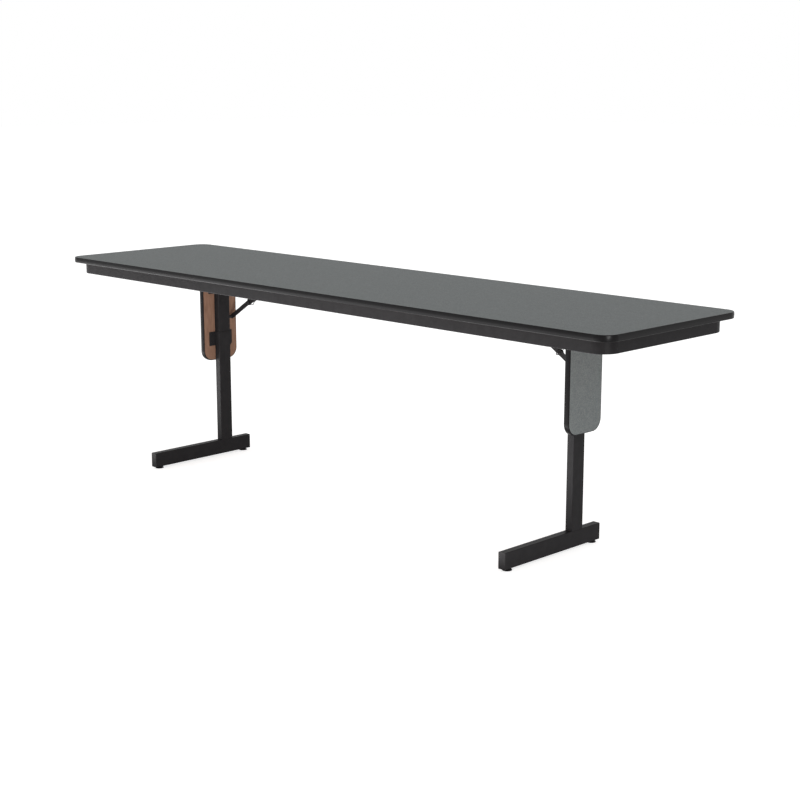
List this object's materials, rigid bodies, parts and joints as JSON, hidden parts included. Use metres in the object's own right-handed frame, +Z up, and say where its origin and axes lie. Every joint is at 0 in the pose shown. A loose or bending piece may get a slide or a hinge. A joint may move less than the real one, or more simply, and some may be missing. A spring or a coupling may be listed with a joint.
{
  "type": "folding training table",
  "caption": "Long narrow folding table: laminated top with dark edge band on a steel apron, offset panel legs with straight feet that fold inward on locking braces",
  "frame": {"origin": "on the floor under the middle of the top", "axes": "+X along the table's length, +Y to the rear (the stems stand behind the middle), +Z up"},
  "size_m": [2.4382, 0.6094, 0.7313],
  "materials": {
    "grey_laminate": "fine-speckled mid-grey pressure laminate, low sheen",
    "brown_backer": "plain brown phenolic backer sheet, matt",
    "particle_board": "raw particle board",
    "black_edge_band": "black moulded edge band, satin",
    "black_steel": "black powder coat, satin",
    "black_plastic": "black plastic",
    "zinc_steel": "zinc-plated fastener steel"
  },
  "bodies": {
    "tabletop": {"top_core": "particle_board", "top_laminate": "grey_laminate", "top_backer": "brown_backer", "top_edge_band": "black_edge_band", "apron": "black_steel", "apron_screws": "zinc_steel", "left_hinge_bracket_front": "black_steel", "left_hinge_bracket_rear": "black_steel", "left_hinge_bracket_screws": "zinc_steel", "left_brace_bracket": "black_steel", "left_brace_bracket_pin": "black_steel", "left_brace_bracket_screws": "zinc_steel", "right_hinge_bracket_front": "black_steel", "right_hinge_bracket_rear": "black_steel", "right_hinge_bracket_screws": "zinc_steel", "right_brace_bracket": "black_steel", "right_brace_bracket_pin": "black_steel", "right_brace_bracket_screws": "zinc_steel"},
    "left_leg": {"left_leg_stem": "black_steel", "left_leg_foot": "black_steel", "left_foot_end_caps": "black_plastic", "left_glide_nuts": "zinc_steel", "left_pivot_tube": "black_steel", "left_pivot_tube_caps": "black_plastic", "left_panel_core": "particle_board", "left_panel_laminate": "grey_laminate", "left_panel_backer": "brown_backer", "left_panel_edge_band": "black_edge_band", "left_panel_strap_lower": "black_steel", "left_panel_strap_upper": "black_steel", "left_strap_screws": "black_steel", "left_brace_stud": "black_steel"},
    "left_upper_link": {"left_brace_upper_link": "black_steel", "left_knee_rivet_rear": "black_steel"},
    "left_lower_link": {"left_brace_lower_link": "black_steel", "left_knee_rivet_front": "black_steel"},
    "left_lock_ring": {"left_brace_lock_ring": "black_steel"},
    "left_glide_front": {"left_glide_front": "black_plastic"},
    "left_glide_rear": {"left_glide_rear": "black_plastic"},
    "right_leg": {"right_leg_stem": "black_steel", "right_leg_foot": "black_steel", "right_foot_end_caps": "black_plastic", "right_glide_nuts": "zinc_steel", "right_pivot_tube": "black_steel", "right_pivot_tube_caps": "black_plastic", "right_panel_core": "particle_board", "right_panel_laminate": "grey_laminate", "right_panel_backer": "brown_backer", "right_panel_edge_band": "black_edge_band", "right_panel_strap_lower": "black_steel", "right_panel_strap_upper": "black_steel", "right_strap_screws": "black_steel", "right_brace_stud": "black_steel"},
    "right_upper_link": {"right_brace_upper_link": "black_steel", "right_knee_rivet_rear": "black_steel"},
    "right_lower_link": {"right_brace_lower_link": "black_steel", "right_knee_rivet_front": "black_steel"},
    "right_lock_ring": {"right_brace_lock_ring": "black_steel"},
    "right_glide_front": {"right_glide_front": "black_plastic"},
    "right_glide_rear": {"right_glide_rear": "black_plastic"}
  },
  "joints": [
    {"name": "left_leg_fold", "type": "hinge", "parent": "tabletop", "child": "left_leg", "pos_m": [-0.8238, 0.0754, 0.68675], "axis": [0, -1, 0], "range_deg": [0, 90]},
    {"name": "left_brace_upper", "type": "hinge", "parent": "tabletop", "child": "left_upper_link", "pos_m": [-0.5348, 0.1202, 0.69275], "axis": [0, 1, 0], "range_deg": [0, 32.8]},
    {"name": "left_brace_lower", "type": "hinge", "parent": "left_leg", "child": "left_lower_link", "pos_m": [-0.8178, 0.1173, 0.51075], "axis": [0, -1, 0], "range_deg": [0, 57.3]},
    {"name": "left_ring_slide", "type": "slide", "parent": "left_upper_link", "child": "left_lock_ring", "axis": [0.8411, 0, 0.5409], "range_m": [0, 0.1957]},
    {"name": "left_glide_front_screw", "type": "slide", "parent": "left_leg", "child": "left_glide_front", "axis": [0, 0, -1], "range_m": [0, 0.01]},
    {"name": "left_glide_rear_screw", "type": "slide", "parent": "left_leg", "child": "left_glide_rear", "axis": [0, 0, -1], "range_m": [0, 0.01]},
    {"name": "right_leg_fold", "type": "hinge", "parent": "tabletop", "child": "right_leg", "pos_m": [0.8238, 0.0754, 0.68675], "axis": [0, 1, 0], "range_deg": [0, 90]},
    {"name": "right_brace_upper", "type": "hinge", "parent": "tabletop", "child": "right_upper_link", "pos_m": [0.5348, 0.1202, 0.69275], "axis": [0, -1, 0], "range_deg": [0, 32.8]},
    {"name": "right_brace_lower", "type": "hinge", "parent": "right_leg", "child": "right_lower_link", "pos_m": [0.8178, 0.1173, 0.51075], "axis": [0, 1, 0], "range_deg": [0, 57.3]},
    {"name": "right_ring_slide", "type": "slide", "parent": "right_upper_link", "child": "right_lock_ring", "axis": [-0.8411, 0, 0.5409], "range_m": [0, 0.1957]},
    {"name": "right_glide_front_screw", "type": "slide", "parent": "right_leg", "child": "right_glide_front", "axis": [0, 0, -1], "range_m": [0, 0.01]},
    {"name": "right_glide_rear_screw", "type": "slide", "parent": "right_leg", "child": "right_glide_rear", "axis": [0, 0, -1], "range_m": [0, 0.01]}
  ],
  "couplings": [
    {"joint": "left_brace_upper", "follows": "left_leg_fold", "ratio": 0.36384},
    {"joint": "left_brace_lower", "follows": "left_leg_fold", "ratio": 0.63616},
    {"joint": "left_ring_slide", "follows": "left_leg_fold", "m_per_rad": 0.12446},
    {"joint": "right_brace_upper", "follows": "right_leg_fold", "ratio": 0.36384},
    {"joint": "right_brace_lower", "follows": "right_leg_fold", "ratio": 0.63616},
    {"joint": "right_ring_slide", "follows": "right_leg_fold", "m_per_rad": 0.12446}
  ]
}
